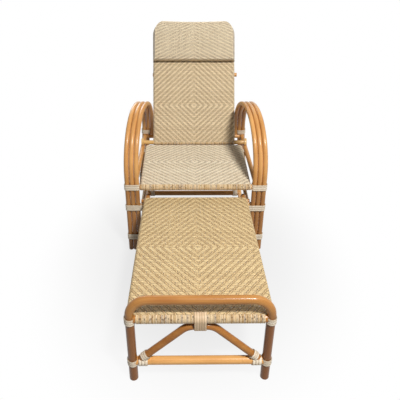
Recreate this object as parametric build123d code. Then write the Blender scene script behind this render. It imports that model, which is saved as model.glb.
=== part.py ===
from build123d import *
import math
import os

# Rattan reclining chaise longue with a sliding footrest, in millimetres.
# X runs across the chair, Y from the footrest to the back, Z up from the floor.
# Everything is placed from the chair's front legs, which stand at Y 0.
# The last step moves the finished pieces so that the origin is under the middle.

# Fits shared by all the joints
FIT_GAP = 0.3            # a pole lashed or nailed against another piece
RUNNING_GAP = 0.05       # radial play of the back's axle in its cheeks
EYE_GAP = 0.4            # radial play of the support arms on the cross rail
STOP_GAP = 1.5           # play left at the ends of the footrest's travel

# Arms: three bent poles on each side, from front foot over the arch to the rear foot
ARM_POLE = 23.0
ARM_X_FRONT = 285.0      # inner pole, at the front leg
ARM_X_APEX = 261.0       # inner pole, at the top of the arch
ARM_X_REAR = 264.0       # inner pole, where the arch ends
ARM_PITCH = 23.5         # from pole to pole, which lie side by side
ARCH_SPRING_Z = 418.0    # the front leg is straight up to here
ARCH_FRONT_R = 262.0
ARCH_REAR_R = 392.0
FOOT_ROUND = 2.5

# Seat and base
SEAT_TOP_Z = 383.0
SEAT_BAR = 26.0
SEAT_SIDE_GAP = 1.0      # between the seat's front corners and the lashed legs
SEAT_X_REAR = 264.0      # axes of the side bars at the rear
SEAT_REAR_Y = 459.0
SEAT_MID_Y = 226.0
SEAT_MID_BAR = 20.0
SIDE_RAIL = 24.0
SIDE_RAIL_X = 297.0
BEARER = 24.0
BEARER_Y = 430.0
BEARER_OVERHANG = 4.0
CROSS_RAIL = 24.0        # the support arms turn on this rail
CROSS_RAIL_Y = 642.0
CROSS_RAIL_Z = 362.0
RUNNER = 20.0
STRETCHER = 24.0
STRETCHER_Z = 81.0
POLE_OVERHANG = 11.0     # how far runners and stretchers pass the leg's axis
CROSS_STRETCHER = 29.0
CROSS_STRETCHER_Y = 430.0

# Woven cane and the lashings
WEAVE = 2.7
LIP_ANGLE = -30.0        # how far the weave laps round a side bar, from level
HOOK_ANGLE = 200.0       # how far it laps round an end bar, from the top
LASH = 2.5
LASH_TALL = 32.0
LASH_SEAT_Z = 369.5
LASH_REAR_Z = 398.0
CROSS_LASH = 26.0
CROSS_LASH_INSET = 4.0

# Back
RECLINE = 28.0           # degrees from upright, as photographed
AXLE = 24.0
AXLE_Y = 484.0
AXLE_Z = 390.0
TENON = 16.0
CHEEK = 46.0
CHEEK_THICK = 13.0
BACK_POLE = 24.0
BACK_X = 221.0           # axis of each stile
BACK_TOP = 679.0         # axis of the hoop's top, along the back from the axle
BACK_BEND = 58.0
BACK_RAIL = 18.0
BACK_LOWER_RAIL = 232.0
BACK_UPPER_RAIL = 448.0

# Headrest
HEAD_LOW = 468.0
HEAD_DEEP_LOW = 45.0
HEAD_DEEP_TOP = 31.0
HEAD_CROWN = 9.0
HEAD_ROUND = 21.7
HEAD_ROUND_SHARE = 0.75  # the most of its wall that a rounded corner may take
HEAD_WALL = 3.0
HEAD_RIB = 10.0
HEAD_RIB_DEEP = 8.0
HEAD_RIB_X = 150.0

# Support behind the back: a bar that slides along racks, carried by two arms
BAIL_BAR = 22.0
BAIL_SEAT = 400.0        # where the bar rests, along the back
BAIL_TRAVEL = 62.6       # how far it runs up the back over the full recline
BAIL_LIFT = 3.2          # room for the bar's arc away from the racks
BAIL_LEFT = 240.0
BAIL_RIGHT = 252.0
BAIL_ARM_X = 205.0
BAIL_ARM = 14.0
BAIL_ARM_WIDE = 24.0
EYE_WALL = 6.0
RACK_DEEP = 7.0
RACK_WIDE = 16.0
RACK_NOTCHES = 5
RACK_NOTCH = 0.6
RACK_END = 14.0
KEEPER = 3.2
KEEPER_WIDE = 14.0

# Footrest
FOOT_Y = -768.0
FOOT_POLE = 32.0
FOOT_X = 240.0
FOOT_TOP_Z = 377.0
FOOT_BEND = 67.0
FOOT_SEAT_Z = 312.0
FOOT_SIDE_BAR = 26.0
FOOT_SIDE_X = 238.0
FOOT_FRONT_BAR = 30.0
FOOT_REAR_BAR = 24.0
FOOT_REAR_Y = -8.0
FOOT_MID_BAR = 20.0
FOOT_MID_COUNT = 2
FOOT_TAIL_Y = 34.0
SLIDE_BAR = 18.0
SLIDE_BAR_HALF = 270.0
FOOT_STRETCHER = 31.0
FOOT_STRETCHER_Z = 90.0
BRACE = 26.0
BRACE_APEX_Z = 259.0
BRACE_KNEE_X = 45.0
BRACE_KNEE_R = 60.0
BRACE_END_X = 220.0
FOOT_LASH_Z = 290.0
FOOT_LASH_TALL = 27.0
CENTRE_LASH = 42.0
CORNER_LASH = 34.0

# Sizes that follow from those above
ARM_R = ARM_POLE / 2
LASH_R = ARM_R + FIT_GAP + LASH
WRAP = FIT_GAP + WEAVE
SEAT_LAP = SEAT_BAR / 2 + WRAP
SEAT_X_FRONT = ARM_X_FRONT - LASH_R - SEAT_SIDE_GAP - SEAT_LAP
SEAT_BAR_Z = SEAT_TOP_Z - SEAT_LAP
SEAT_UNDER_Z = SEAT_BAR_Z - SEAT_BAR / 2
SIDE_RAIL_Z = SEAT_UNDER_Z + SIDE_RAIL / 2
BEARER_Z = SEAT_UNDER_Z - FIT_GAP - BEARER / 2
FOOT_SIDE_Z = FOOT_SEAT_Z - WRAP - FOOT_SIDE_BAR / 2
FOOT_FRONT_Z = FOOT_SEAT_Z - WRAP - FOOT_FRONT_BAR / 2
FOOT_REAR_Z = FOOT_SEAT_Z - WRAP - FOOT_REAR_BAR / 2
SLIDE_BAR_Z = FOOT_SIDE_Z - FOOT_SIDE_BAR / 2 - FIT_GAP - SLIDE_BAR / 2
SLIDE_BAR_Y = LASH_R + STOP_GAP + SLIDE_BAR / 2
RUNNER_Z = SLIDE_BAR_Z - SLIDE_BAR / 2 - FIT_GAP - RUNNER / 2
BACK_WRAP_R = BACK_POLE / 2 + WRAP
BAIL_OFF = BACK_POLE / 2 + RACK_DEEP + BAIL_BAR / 2
BIG = 3000.0

# The back's own plane: X across, Y up along the back, Z out of its front face
LEAN = math.radians(RECLINE)
BACK = Plane(
    origin=(0, AXLE_Y, AXLE_Z),
    x_dir=(1, 0, 0),
    z_dir=(0, -math.cos(LEAN), math.sin(LEAN)),
)
CROSS = Plane.YZ


def crossbar(half, y, z, diameter):
    """A straight pole that runs across the chair."""
    return pole((-half, y, z), (half, y, z), diameter)


def pole(start, end, diameter):
    """A straight pole between two points on its axis."""
    run = Vector(*end) - Vector(*start)
    seat = Plane(origin=start, z_dir=run)
    bottom = (Align.CENTER, Align.CENTER, Align.MIN)
    return seat * Cylinder(diameter / 2, run.length, align=bottom)


def bent_pole(path, diameter):
    """A pole steamed and bent along a path of lines and tangent arcs."""
    seat = Plane(origin=path @ 0, z_dir=path % 0)
    return sweep(seat * Circle(diameter / 2), path=path)


def coped(body, *neighbours):
    """Saddle a piece against its neighbours, and keep the piece without its offcuts."""
    for neighbour in neighbours:
        body = body - neighbour
    return body.solids().sort_by(SortBy.VOLUME)[-1]


def both_sides(name, right):
    """The right-hand piece and its mirror image, under their node names."""
    return {name + "_right": right, name + "_left": mirror(right, about=Plane.YZ)}


def on_floor(body):
    """Saw the feet level with the floor."""
    return body - Pos(0, 0, -BIG / 2) * Box(BIG, BIG, BIG)


def lash(seat, circles, tall, *poles):
    """A tight wrap of cane round several poles: a hull of their circles, cut by the poles."""
    outline = make_hull([edge for x, y, r in circles for edge in (Pos(x, y) * Circle(r)).edges()])
    return coped(seat * extrude(outline, tall / 2, both=True), *poles)


def woven_panel(low_y, high_y, low_x, high_x, side_bar, low_bar, high_bar, low_half, high_half):
    """Cane woven over a frame: a flat sheet, its top on Z 0, lapped round the bars at its edges.

    The places given are the axes of the four bars, then the half widths of the end laps."""

    def section(y, x):
        outer = side_bar / 2 + WRAP
        inner = side_bar / 2 + FIT_GAP
        sweep_angle = 90 - LIP_ANGLE
        lines = Curve()
        for r, z in ((outer, 0), (inner, -WEAVE)):
            lines += Line((-x, z), (x, z))
            lines += CenterArc((x, -outer), r, LIP_ANGLE, sweep_angle)
            lines += CenterArc((-x, -outer), r, 90, sweep_angle)
        for side in (-1, 1):
            ends = [
                (side * (x + r * math.cos(math.radians(LIP_ANGLE))),
                 -outer + r * math.sin(math.radians(LIP_ANGLE)))
                for r in (inner, outer)
            ]
            lines += Line(*ends)
        upright = Plane(origin=(0, y, 0), x_dir=(1, 0, 0), z_dir=(0, -1, 0))
        return upright * make_face(lines)

    def hook(y, bar, half, turn):
        outer = bar / 2 + WRAP
        ring = Circle(outer) - Circle(bar / 2 + FIT_GAP)
        lap = make_face(
            CenterArc((0, 0), 2 * outer, 90, turn * HOOK_ANGLE)
            + Line((0, 0), (0, 2 * outer))
            + Line((0, 0), Vector(0, 2 * outer).rotate(Axis.Z, turn * HOOK_ANGLE))
        )
        return extrude(CROSS * (Pos(y, -outer) * (ring & lap)), half, both=True)

    sheet = loft([section(low_y, low_x), section(high_y, high_x)], ruled=True)
    return sheet + hook(low_y, low_bar, low_half, 1) + hook(high_y, high_bar, high_half, -1)


class ArmLine:
    """The axis of one bent pole of the right arm; index 0 is the inner pole, 2 the outer one."""

    def __init__(self, index):
        x_front = ARM_X_FRONT + index * ARM_PITCH
        x_apex = ARM_X_APEX + index * ARM_PITCH
        x_rear = ARM_X_REAR + index * ARM_PITCH
        toe = math.asin((x_front - x_apex) / ARCH_FRONT_R)
        out = (x_rear - x_apex) / ARCH_REAR_R + math.sin(toe)
        drift = out * math.tan(toe)
        self.along = Vector(-math.sin(toe), math.cos(toe), 0)
        self.down = Vector(out, drift, -math.sqrt(1 - out**2 - drift**2))
        self.foot = Vector(x_front, 0, 0)
        self.spring = Vector(x_front, 0, ARCH_SPRING_Z)
        self.front_hub = self.spring + self.along * ARCH_FRONT_R
        self.apex = self.front_hub + Vector(0, 0, ARCH_FRONT_R)
        self.rear_hub = self.apex + self.down * ARCH_REAR_R
        self.fall = self.rear_hub + self.along * ARCH_REAR_R

    def path(self):
        """Front leg, the two quarters of the arch and the rear leg, all tangent."""
        diagonal = math.sqrt(0.5)
        front_mid = self.front_hub + (Vector(0, 0, 1) - self.along) * (ARCH_FRONT_R * diagonal)
        rear_mid = self.rear_hub + (self.along - self.down) * (ARCH_REAR_R * diagonal)
        heel = self.rear_at(-ARM_POLE)
        return Wire([
            Edge.make_line(self.foot, self.spring),
            Edge.make_three_point_arc(self.spring, front_mid, self.apex),
            Edge.make_three_point_arc(self.apex, rear_mid, self.fall),
            Edge.make_line(self.fall, heel),
        ])

    def rear_at(self, z):
        """Where the pole passes a height on its rear side, on the arch or on the straight leg."""
        if z < self.fall.Z:
            return self.fall + self.down * ((z - self.fall.Z) / self.down.Z)
        rise = (z - self.rear_hub.Z) / (ARCH_REAR_R * -self.down.Z)
        level = math.sqrt(1 - rise**2)
        return self.rear_hub + (self.along * level - self.down * rise) * ARCH_REAR_R

    def rear_run(self, z):
        """The pole's downward direction there."""
        if z < self.fall.Z:
            return self.down
        rise = (z - self.rear_hub.Z) / (ARCH_REAR_R * -self.down.Z)
        return self.along * rise + self.down * math.sqrt(1 - rise**2)


ARMS = [ArmLine(index) for index in range(3)]
ARM_ROOM = [bent_pole(arm.path(), ARM_POLE + 2 * FIT_GAP) for arm in ARMS]
INNER, MIDDLE, OUTER = range(3)


def inside_leg(leg, diameter):
    """X of a pole lashed against the inner face of a leg."""
    return leg.X - ARM_R - FIT_GAP - diameter / 2


def base_line(z, diameter):
    """The axis of a pole that runs inside the right-hand legs: its points at the two legs."""
    rear_leg = ARMS[MIDDLE].rear_at(z)
    lean = ARMS[MIDDLE].rear_run(z)
    rear_x = inside_leg(rear_leg, diameter) - diameter / 2 * abs(lean.X)
    front = Vector(inside_leg(ARMS[INNER].foot, diameter), 0, z)
    rear = Vector(rear_x, rear_leg.Y, z)
    return front, rear


def base_pole(z, diameter, room=0):
    """A pole from front leg to rear leg along the inner faces of the right-hand legs."""
    front, rear = base_line(z, diameter)
    run = (rear - front).normalized()
    return pole(front - run * (POLE_OVERHANG - LASH), rear + run * POLE_OVERHANG, diameter + 2 * room)


def frame_nodes():
    """The fixed chair: arms, base and seat."""
    nodes = {}
    rail_half = ARMS[MIDDLE].rear_at(CROSS_RAIL_Z).X
    cross_rail = crossbar(rail_half, CROSS_RAIL_Y, CROSS_RAIL_Z, CROSS_RAIL)
    cross_room = crossbar(rail_half, CROSS_RAIL_Y, CROSS_RAIL_Z, CROSS_RAIL + 2 * FIT_GAP)
    mirror_room = mirror(ARM_ROOM[MIDDLE], about=Plane.YZ)
    nodes["rear_cross_rail"] = coped(cross_rail, ARM_ROOM[MIDDLE], mirror_room)
    below_rail = Pos(0, CROSS_RAIL_Y, CROSS_RAIL_Z - BIG / 2) * Box(BIG, ARCH_REAR_R, BIG)
    for index, name in enumerate(("inner", "middle", "outer")):
        arm = on_floor(bent_pole(ARMS[index].path(), ARM_POLE))
        if index == INNER:
            arm = coped(arm, below_rail, cross_room)
        nodes.update(both_sides("arm_pole_" + name, arm))
    nodes.update(base_nodes())
    nodes.update(seat_nodes())
    return nodes


def base_nodes():
    """Rails, runners, stretchers, cheeks and lashings between the arms."""
    nodes = {}
    runner = base_pole(RUNNER_Z, RUNNER)
    runner_room = base_pole(RUNNER_Z, RUNNER, FIT_GAP)
    stretcher = base_pole(STRETCHER_Z, STRETCHER)
    stretcher_room = base_pole(STRETCHER_Z, STRETCHER, FIT_GAP)
    nodes.update(both_sides("runner", runner))
    nodes.update(both_sides("lower_stretcher", stretcher))

    rail_front = LASH_R + FIT_GAP
    rail_rear = ARMS[OUTER].rear_at(SIDE_RAIL_Z).Y - ARM_R / 2
    rail_ends = (SIDE_RAIL_X, rail_front, SIDE_RAIL_Z), (SIDE_RAIL_X, rail_rear, SIDE_RAIL_Z)
    side_rail = coped(pole(*rail_ends, SIDE_RAIL), *ARM_ROOM)
    rail_room = pole(*rail_ends, SIDE_RAIL + 2 * FIT_GAP)
    nodes.update(both_sides("side_rail", side_rail))

    bearer_half = SIDE_RAIL_X + SIDE_RAIL / 2 + BEARER_OVERHANG
    nodes["rear_bearer"] = crossbar(bearer_half, BEARER_Y, BEARER_Z, BEARER)

    front, rear = base_line(STRETCHER_Z, STRETCHER)
    cross_half = front.X + (rear.X - front.X) * (CROSS_STRETCHER_Y - front.Y) / (rear.Y - front.Y)
    across = crossbar(cross_half, CROSS_STRETCHER_Y, STRETCHER_Z, CROSS_STRETCHER)
    cross_stretcher = coped(across, stretcher_room, mirror(stretcher_room, about=Plane.YZ))
    nodes["lower_cross_stretcher"] = cross_stretcher
    ring_x = cross_half - STRETCHER / 2 - FIT_GAP - CROSS_LASH_INSET - CROSS_LASH / 2
    ring_r = CROSS_STRETCHER / 2 + FIT_GAP
    ring = extrude(Circle(ring_r + LASH) - Circle(ring_r), CROSS_LASH / 2, both=True)
    rings = [Pos(x, CROSS_STRETCHER_Y, STRETCHER_Z) * (CROSS * ring) for x in (-ring_x, ring_x)]
    nodes["cross_stretcher_bindings"] = Compound(rings)

    cheek_seat = Plane(origin=(SIDE_RAIL_X, AXLE_Y, AXLE_Z), z_dir=(1, 0, 0))
    disc = extrude(Circle(CHEEK / 2) - Circle(TENON / 2 + RUNNING_GAP), CHEEK_THICK / 2, both=True)
    nodes.update(both_sides("bearing_cheek", coped(cheek_seat * disc, rail_room)))

    down = Vector(0, 0, -1)
    front_wraps = [
        lash_row(LASH_SEAT_Z, [arm.foot for arm in ARMS], down, ARM_ROOM),
        lash_row(RUNNER_Z, front_row(RUNNER), down, ARM_ROOM + [runner_room]),
        lash_row(STRETCHER_Z, front_row(STRETCHER), down, ARM_ROOM + [stretcher_room]),
    ]
    rear_wraps = []
    for z, diameter, lashed in (
        (LASH_REAR_Z, 0, [ARM_ROOM[INNER]]),
        (RUNNER_Z, RUNNER, [runner_room]),
        (STRETCHER_Z, STRETCHER, [stretcher_room]),
    ):
        run = ARMS[MIDDLE].rear_run(z)
        rear_wraps.append(lash_row(z, rear_row(z, diameter), run, ARM_ROOM[MIDDLE:] + lashed))
    for name, wraps in (("front_leg_bindings", front_wraps), ("rear_leg_bindings", rear_wraps)):
        nodes[name + "_right"] = Compound(wraps)
        nodes[name + "_left"] = Compound([mirror(wrap, about=Plane.YZ) for wrap in wraps])
    return nodes


def front_row(diameter):
    """Points on the three front legs and on the pole lashed inside them."""
    legs = [arm.foot for arm in ARMS]
    return [Vector(inside_leg(legs[INNER], diameter), 0, 0)] + legs


def rear_row(z, diameter):
    """Points on the two rear legs and, where it has a diameter, on the pole lashed inside them."""
    legs = [ARMS[MIDDLE].rear_at(z), ARMS[OUTER].rear_at(z)]
    if diameter:
        legs.insert(0, Vector(inside_leg(legs[0], diameter), legs[0].Y, z))
    return legs


def lash_row(z, row, run, poles):
    """A wrap round a row of legs, square to the way that they run."""
    start = Vector(row[0].X, row[0].Y, z)
    across = Vector(row[-1].X, row[-1].Y, z) - start
    across = across - run * across.dot(run)
    seat = Plane(origin=start, x_dir=across, z_dir=run * -1)
    circles = [(0, 0, LASH_R), (across.length, 0, LASH_R)]
    return lash(seat, circles, LASH_TALL, *poles)


def seat_nodes():
    """The seat's frame of bars and the cane woven over it."""
    nodes = {}
    front_half = ARM_X_FRONT - LASH_R - FIT_GAP
    front_rail = crossbar(front_half, 0, SEAT_BAR_Z, SEAT_BAR)
    front_room = crossbar(front_half, 0, SEAT_BAR_Z, SEAT_BAR + 2 * FIT_GAP)
    side_ends = (SEAT_X_FRONT, 0, SEAT_BAR_Z), (SEAT_X_REAR, SEAT_REAR_Y + SEAT_BAR / 2, SEAT_BAR_Z)
    side_bar = coped(pole(*side_ends, SEAT_BAR), front_room)
    side_room = pole(*side_ends, SEAT_BAR + 2 * FIT_GAP)
    side_rooms = side_room, mirror(side_room, about=Plane.YZ)
    nodes["seat_front_rail"] = front_rail
    nodes.update(both_sides("seat_side_bar", side_bar))
    mid_bar = crossbar(SEAT_X_FRONT, SEAT_MID_Y, SEAT_BAR_Z, SEAT_MID_BAR)
    rear_bar = crossbar(SEAT_X_REAR, SEAT_REAR_Y, SEAT_BAR_Z, SEAT_BAR)
    nodes["seat_mid_bar"] = coped(mid_bar, *side_rooms)
    nodes["seat_rear_bar"] = coped(rear_bar, *side_rooms)
    weave = woven_panel(
        0, SEAT_REAR_Y, SEAT_X_FRONT, SEAT_X_REAR,
        SEAT_BAR, SEAT_BAR, SEAT_BAR, SEAT_X_FRONT + SEAT_LAP, SEAT_X_REAR,
    )
    nodes["seat_weave"] = coped(Pos(0, 0, SEAT_TOP_Z) * weave, front_room, *side_rooms)
    return nodes


def rounded_outline(half, low, high, corner, depth):
    """A block along the back with its two upper corners rounded, in the back's own plane."""
    tall = high - low
    face = Pos(0, low + tall / 2) * Rectangle(2 * half, tall)
    upper = face.vertices().group_by(Axis.Y)[-1]
    return extrude(fillet(upper, corner), depth, both=True)


def head_section(inset, back_open):
    """The headrest's side section, in from its outer face by an inset."""
    back = BACK_WRAP_R + FIT_GAP
    base = back - inset if back_open else back + inset
    low = HEAD_LOW + inset
    top = BACK_TOP + BACK_WRAP_R - inset
    front_low = back + HEAD_DEEP_LOW - inset
    front_top = back + HEAD_DEEP_TOP - inset
    crown = ((low + top) / 2, (front_low + front_top) / 2 + HEAD_CROWN)
    outline = Polyline((low, front_low), (low, base), (top, base), (top, front_top))
    face = make_face(outline + ThreePointArc((low, front_low), crown, (top, front_top)))
    front = face.vertices().group_by(Axis.Y)[1:]
    corners = [vertex for group in front for vertex in group]
    corner = min(HEAD_ROUND, HEAD_ROUND_SHARE * HEAD_DEEP_TOP) - inset
    return CROSS * fillet(corners, min(corner, HEAD_ROUND_SHARE * (front_top - base)))


def back_nodes():
    """The reclining back, in its own plane: hoop, axle, rails, weave and headrest."""
    nodes = {}
    hoop_path = FilletPolyline(
        (-BACK_X, 0), (-BACK_X, BACK_TOP), (BACK_X, BACK_TOP), (BACK_X, 0), radius=BACK_BEND
    )
    hoop_wire = Wire(hoop_path.edges())
    shoulder = SIDE_RAIL_X - CHEEK_THICK / 2 - FIT_GAP
    tenon_end = SIDE_RAIL_X + CHEEK_THICK / 2
    axle_room = crossbar(shoulder, 0, 0, AXLE + 2 * FIT_GAP)
    hoop = coped(bent_pole(hoop_wire, BACK_POLE), axle_room)
    hoop_room = bent_pole(hoop_wire, BACK_POLE + 2 * FIT_GAP)
    nodes["back_axle"] = crossbar(shoulder, 0, 0, AXLE) + crossbar(tenon_end, 0, 0, TENON)
    nodes["back_hoop"] = hoop
    for name, s in (("back_lower_rail", BACK_LOWER_RAIL), ("back_upper_rail", BACK_UPPER_RAIL)):
        nodes[name] = coped(crossbar(BACK_X, s, 0, BACK_RAIL), hoop_room)

    lap_half = BACK_X + BACK_WRAP_R
    weave = woven_panel(
        0, BACK_TOP, BACK_X, BACK_X, BACK_POLE, AXLE, BACK_POLE, lap_half, BACK_X - BACK_BEND
    )
    outline = rounded_outline(lap_half, -lap_half, BACK_TOP + BACK_WRAP_R, BACK_BEND + BACK_WRAP_R, BIG)
    nodes["back_weave"] = coped(Pos(0, 0, BACK_WRAP_R) * weave & outline, axle_room, hoop_room)

    shell = extrude(head_section(0, True), lap_half, both=True) & outline
    room_outline = rounded_outline(
        lap_half - HEAD_WALL, -lap_half, BACK_TOP + BACK_WRAP_R, BACK_BEND + BACK_WRAP_R - HEAD_WALL, BIG
    )
    hollow = extrude(head_section(HEAD_WALL, True), lap_half, both=True) & room_outline
    nodes["headrest_weave"] = coped(shell, hollow)
    rib_out = HEAD_WALL + FIT_GAP
    rib_face = head_section(rib_out, False) - head_section(rib_out + HEAD_RIB_DEEP, False)
    ribs = [Pos(x, 0, 0) * extrude(rib_face, HEAD_RIB / 2, both=True) for x in (-HEAD_RIB_X, 0, HEAD_RIB_X)]
    nodes["headrest_ribs"] = Compound(ribs)
    nodes.update(rack_nodes(hoop_room))
    return {name: BACK * node for name, node in nodes.items()}


def rack_nodes(hoop_room):
    """Notched strips behind the stiles, and the staples that keep the support bar on them."""
    low = BAIL_SEAT - BAIL_BAR / 2 - RACK_END
    high = BAIL_SEAT + BAIL_TRAVEL + BAIL_BAR / 2 + RACK_END
    face = -BAIL_OFF + BAIL_BAR / 2 - FIT_GAP
    strip = Box(RACK_WIDE, high - low, -face, align=(Align.CENTER, Align.MIN, Align.MAX))
    strip = Pos(BACK_X, low, 0) * strip
    step = BAIL_TRAVEL / (RACK_NOTCHES - 1)
    notch_z = face - BAIL_BAR / 2 + RACK_NOTCH
    notches = [
        pole((0, BAIL_SEAT + k * step, notch_z), (2 * BACK_X, BAIL_SEAT + k * step, notch_z), BAIL_BAR)
        for k in range(RACK_NOTCHES)
    ]
    rack = coped(strip, hoop_room, *notches)

    inner = -BAIL_OFF - BAIL_BAR / 2 - BAIL_LIFT
    long = high - low + 2 * FIT_GAP
    centre = (low + high) / 2
    block = Box(KEEPER_WIDE, long + 2 * KEEPER, KEEPER - inner, align=(Align.CENTER, Align.CENTER, Align.MIN))
    slot = Box(RACK_WIDE, long, -inner, align=(Align.CENTER, Align.CENTER, Align.MIN))
    keeper = Pos(BACK_X, centre, inner - KEEPER) * block - Pos(BACK_X, centre, inner) * slot
    feet = coped(keeper, hoop_room)
    return {**both_sides("rack", rack), **both_sides("keeper", feet)}


def bail_nodes():
    """The support behind the back: two arms that turn on the cross rail and carry the bar."""
    bar_at = BACK.from_local_coords(Vector(0, BAIL_SEAT, -BAIL_OFF))
    pivot = Vector(0, CROSS_RAIL_Y, CROSS_RAIL_Z)
    reach = bar_at - pivot
    nodes = {"bail_bar": pole((-BAIL_LEFT, bar_at.Y, bar_at.Z), (BAIL_RIGHT, bar_at.Y, bar_at.Z), BAIL_BAR)}
    eye = CROSS_RAIL / 2 + EYE_GAP
    seat = BAIL_BAR / 2 + FIT_GAP
    outline = (
        Circle(eye + EYE_WALL)
        + Pos(reach.length, 0) * Circle(seat + EYE_WALL)
        + Pos(reach.length / 2, 0) * Rectangle(reach.length, BAIL_ARM_WIDE)
    )
    outline = outline - Circle(eye) - Pos(reach.length, 0) * Circle(seat)
    link = Plane(origin=(BAIL_ARM_X, pivot.Y, pivot.Z), x_dir=reach, z_dir=(1, 0, 0))
    nodes.update(both_sides("bail_arm", link * extrude(outline, BAIL_ARM / 2, both=True)))
    return nodes


def footrest_nodes():
    """The sliding footrest: bent hoop, frame, weave, brace and lashings."""
    nodes = {}
    upright = Plane(origin=(0, FOOT_Y, 0), x_dir=(1, 0, 0), z_dir=(0, -1, 0))
    hoop_wire = upright * FilletPolyline(
        (-FOOT_X, 0), (-FOOT_X, FOOT_TOP_Z), (FOOT_X, FOOT_TOP_Z), (FOOT_X, 0), radius=FOOT_BEND
    )
    hoop_wire = Wire(hoop_wire.edges())
    hoop = bent_pole(hoop_wire, FOOT_POLE)
    soles = hoop.faces().group_by(Axis.Z)[0].edges()
    nodes["footrest_hoop"] = fillet(soles, FOOT_ROUND)
    hoop_room = bent_pole(hoop_wire, FOOT_POLE + 2 * FIT_GAP)

    ring_r = FOOT_POLE / 2 + FIT_GAP
    ring = extrude(Circle(ring_r + LASH) - Circle(ring_r), FOOT_LASH_TALL / 2, both=True)
    rings = [Pos(FOOT_X, FOOT_Y, z) * ring for z in (FOOT_LASH_Z, FOOT_STRETCHER_Z)]
    nodes["footrest_leg_bindings_right"] = Compound(rings)
    nodes["footrest_leg_bindings_left"] = Compound([mirror(r, about=Plane.YZ) for r in rings])
    ring_room = Cylinder(ring_r + LASH + FIT_GAP, FOOT_LASH_TALL + 2 * FIT_GAP)
    rooms = [hoop_room]
    for z in (FOOT_LASH_Z, FOOT_STRETCHER_Z):
        rooms += [Pos(x, FOOT_Y, z) * ring_room for x in (-FOOT_X, FOOT_X)]

    front_room = crossbar(BIG, FOOT_Y, FOOT_FRONT_Z, FOOT_FRONT_BAR + 2 * FIT_GAP)
    nodes["footrest_front_rail"] = coped(crossbar(FOOT_X, FOOT_Y, FOOT_FRONT_Z, FOOT_FRONT_BAR), *rooms)
    side_ends = (FOOT_SIDE_X, FOOT_Y, FOOT_SIDE_Z), (FOOT_SIDE_X, FOOT_TAIL_Y, FOOT_SIDE_Z)
    side_room = pole(*side_ends, FOOT_SIDE_BAR + 2 * FIT_GAP)
    side_rooms = [side_room, mirror(side_room, about=Plane.YZ)]
    nodes.update(both_sides("footrest_side_rail", coped(pole(*side_ends, FOOT_SIDE_BAR), front_room, *rooms)))

    rear_bar = crossbar(FOOT_SIDE_X, FOOT_REAR_Y, FOOT_REAR_Z, FOOT_REAR_BAR)
    nodes["footrest_rear_rail"] = coped(rear_bar, *side_rooms)
    pitch = (FOOT_REAR_Y - FOOT_Y) / (FOOT_MID_COUNT + 1)
    mids = []
    for k in range(FOOT_MID_COUNT):
        y = FOOT_Y + (k + 1) * pitch
        mids.append(coped(crossbar(FOOT_SIDE_X, y, FOOT_SIDE_Z, FOOT_MID_BAR), *side_rooms))
    nodes["footrest_mid_bars"] = Compound(mids)

    front_half = FOOT_X - ring_r - LASH - FIT_GAP
    weave = woven_panel(
        FOOT_Y, FOOT_REAR_Y, FOOT_SIDE_X, FOOT_SIDE_X, FOOT_SIDE_BAR, FOOT_FRONT_BAR, FOOT_REAR_BAR,
        front_half, FOOT_SIDE_X - FOOT_SIDE_BAR / 2 - FIT_GAP,
    )
    core = crossbar(BIG, FOOT_Y, FOOT_FRONT_Z, FOOT_FRONT_BAR + 2 * WRAP + FIT_GAP)
    slot = centre_lash(FIT_GAP, core)
    nodes["footrest_weave"] = coped(Pos(0, 0, FOOT_SEAT_Z) * weave, front_room, *side_rooms, *rooms, slot)
    nodes["footrest_slide_bar"] = crossbar(SLIDE_BAR_HALF, SLIDE_BAR_Y, SLIDE_BAR_Z, SLIDE_BAR)
    nodes.update(brace_nodes(upright, rooms))
    return nodes


def centre_lash(grow, *poles):
    """The wrap that ties the brace to the front rail, through the weave."""
    seat = Plane(origin=(0, FOOT_Y, 0), x_dir=(0, 1, 0), z_dir=(1, 0, 0))
    rail_r = FOOT_FRONT_BAR / 2 + WRAP + FIT_GAP + LASH + grow
    brace_r = BRACE / 2 + FIT_GAP + LASH + grow
    circles = [(0, FOOT_FRONT_Z, rail_r), (0, BRACE_APEX_Z, brace_r)]
    return lash(seat, circles, CENTRE_LASH + 2 * grow, *poles)


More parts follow.
